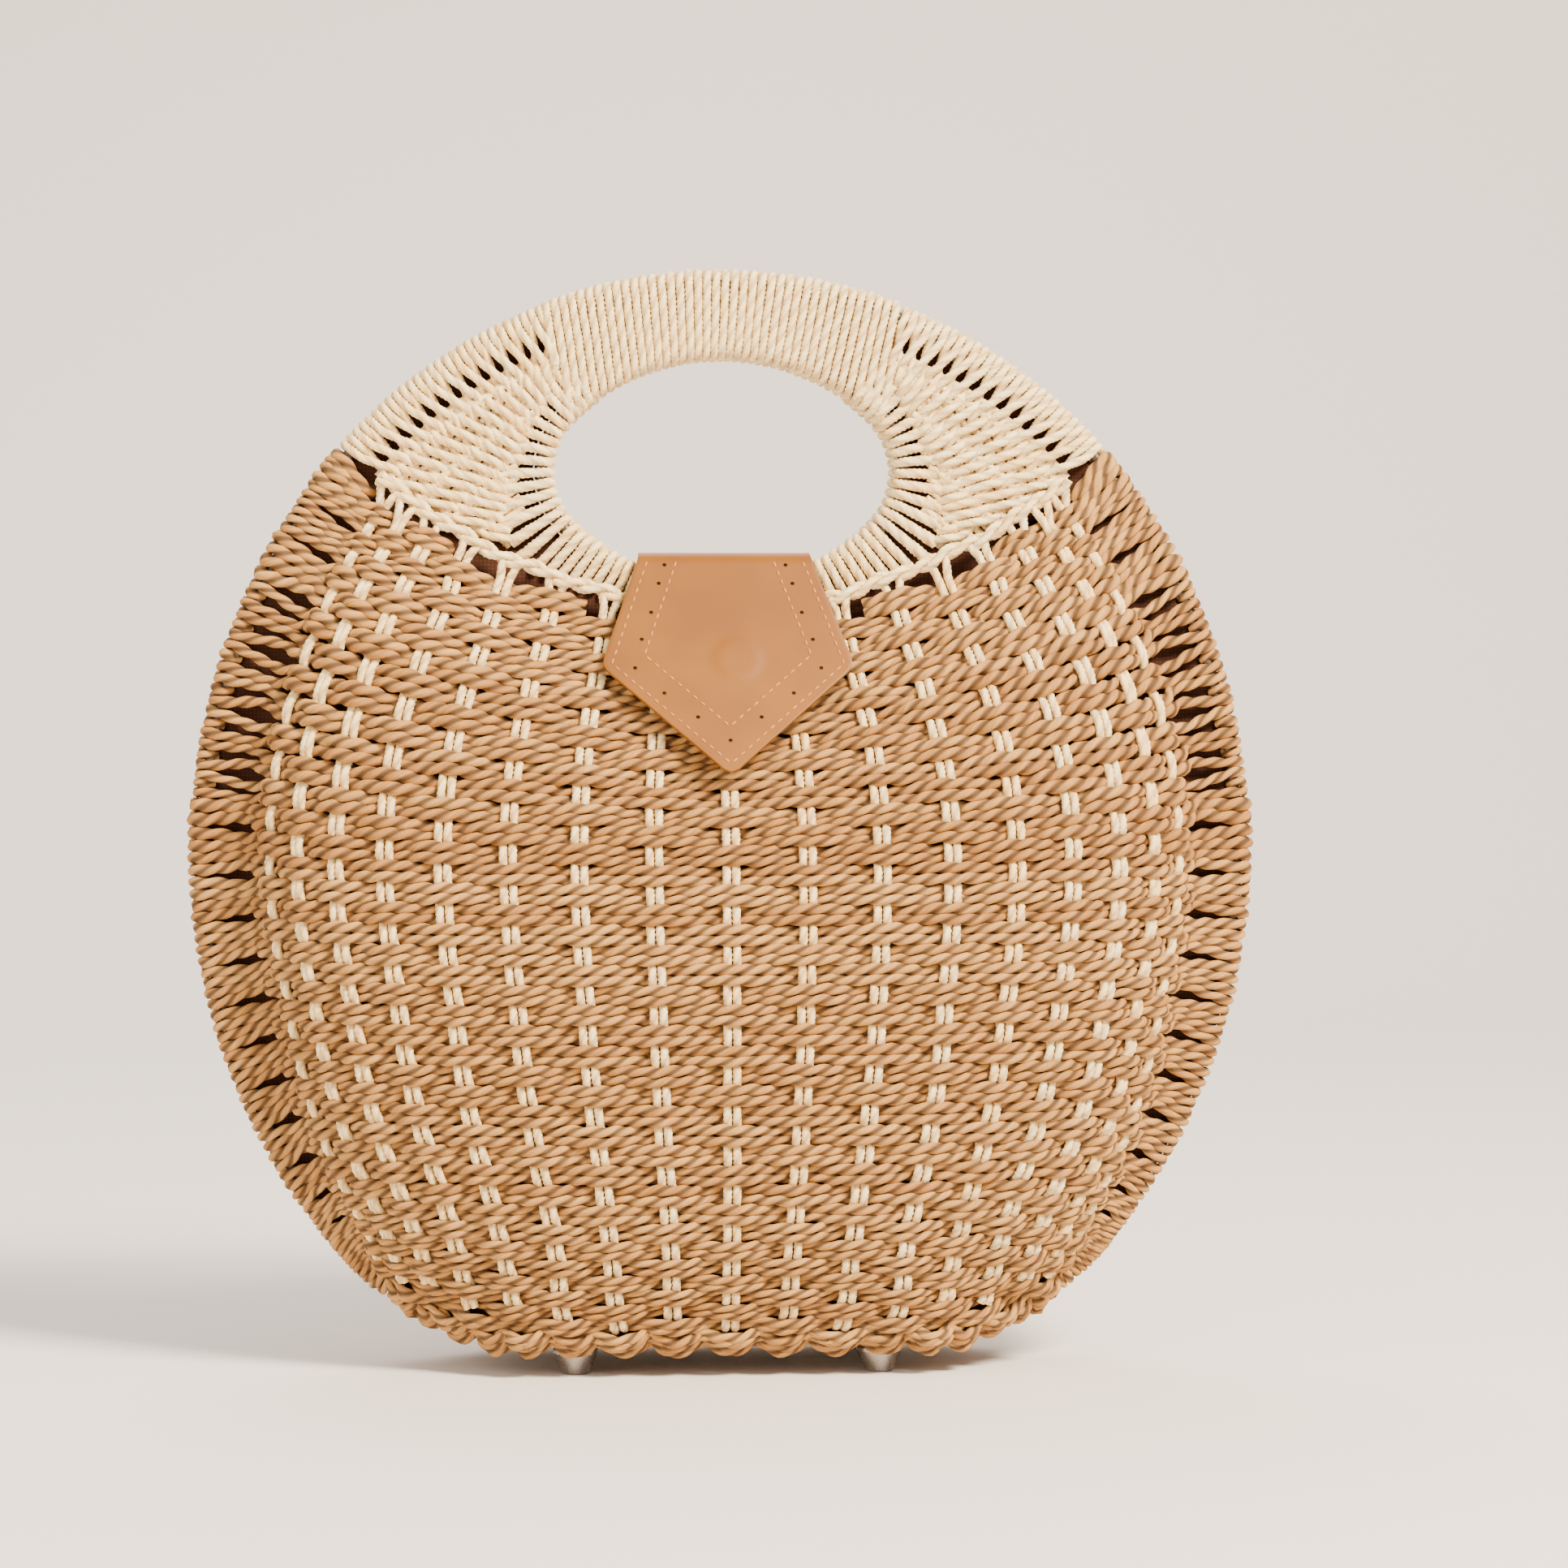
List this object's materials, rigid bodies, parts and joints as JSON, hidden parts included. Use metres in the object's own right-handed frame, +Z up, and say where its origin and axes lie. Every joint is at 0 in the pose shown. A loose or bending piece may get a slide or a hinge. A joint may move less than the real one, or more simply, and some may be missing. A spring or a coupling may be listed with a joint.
{
  "type": "round woven handbag",
  "caption": "Round bag of woven paper rope: two domed halves on wire rims, hinged along the bottom, with a hand hole, cord-wound grips, and a leather flap that snaps shut",
  "frame": {"origin": "on the ground, midway between the four feet", "axes": "+Z up, +Y from the half with the snap towards the half that the flap is fastened to, +X to the right when the flap's point faces the viewer"},
  "size_m": [0.312, 0.1038, 0.3198],
  "materials": {
    "rope": "twisted paper rope, tan with brown shadows, matt",
    "cord": "cream twisted cord, matt",
    "leather": "tan vegetable leather with stitched rows, satin",
    "facing": "pale leather facing, suede side out",
    "wire": "drawn steel wire",
    "nickel": "nickel plate, polished",
    "lining": "brown plain-weave cotton"
  },
  "bodies": {
    "back_shell": {"back_rim_wire": "wire", "back_hole_wire": "wire", "back_grip_core": "rope", "back_grip_winding": "cord", "back_rim_binding": "cord", "back_rim_winding": "rope", "back_hole_binding": "cord", "back_corner_webs": "cord", "back_weave": "rope", "back_base": "rope", "back_lining": "lining", "back_floor_lining": "lining", "back_feet": "nickel", "back_foot_screws": "wire", "back_foot_washers": "nickel", "hinge_lashings": "cord", "left_gusset": "lining", "right_gusset": "lining", "flap_tail": "leather", "tail_rivets": "nickel"},
    "front_shell": {"front_rim_wire": "wire", "front_hole_wire": "wire", "front_grip_core": "rope", "front_grip_winding": "cord", "front_rim_binding": "cord", "front_rim_winding": "rope", "front_hole_binding": "cord", "front_corner_webs": "cord", "front_weave": "rope", "front_base": "rope", "front_lining": "lining", "front_floor_lining": "lining", "front_feet": "nickel", "front_foot_screws": "wire", "front_foot_washers": "nickel", "snap_socket": "nickel"},
    "flap": {"flap_leather": "leather", "flap_facing": "facing", "snap_stud": "nickel"}
  },
  "joints": [
    {"name": "shell_hinge", "type": "hinge", "parent": "back_shell", "child": "front_shell", "pos_m": [0, -0.00545, 0.01195], "axis": [1, 0, 0], "range_deg": [0, 10], "deforming": ["left_gusset", "right_gusset"]},
    {"name": "flap_hinge", "type": "hinge", "parent": "back_shell", "child": "flap", "pos_m": [0, 0.0065, 0.23603], "axis": [-1, 0, 0], "range_deg": [0, 100]}
  ],
  "couplings": [
    {"joint": "flap_hinge", "follows": "shell_hinge", "ratio": 10}
  ]
}
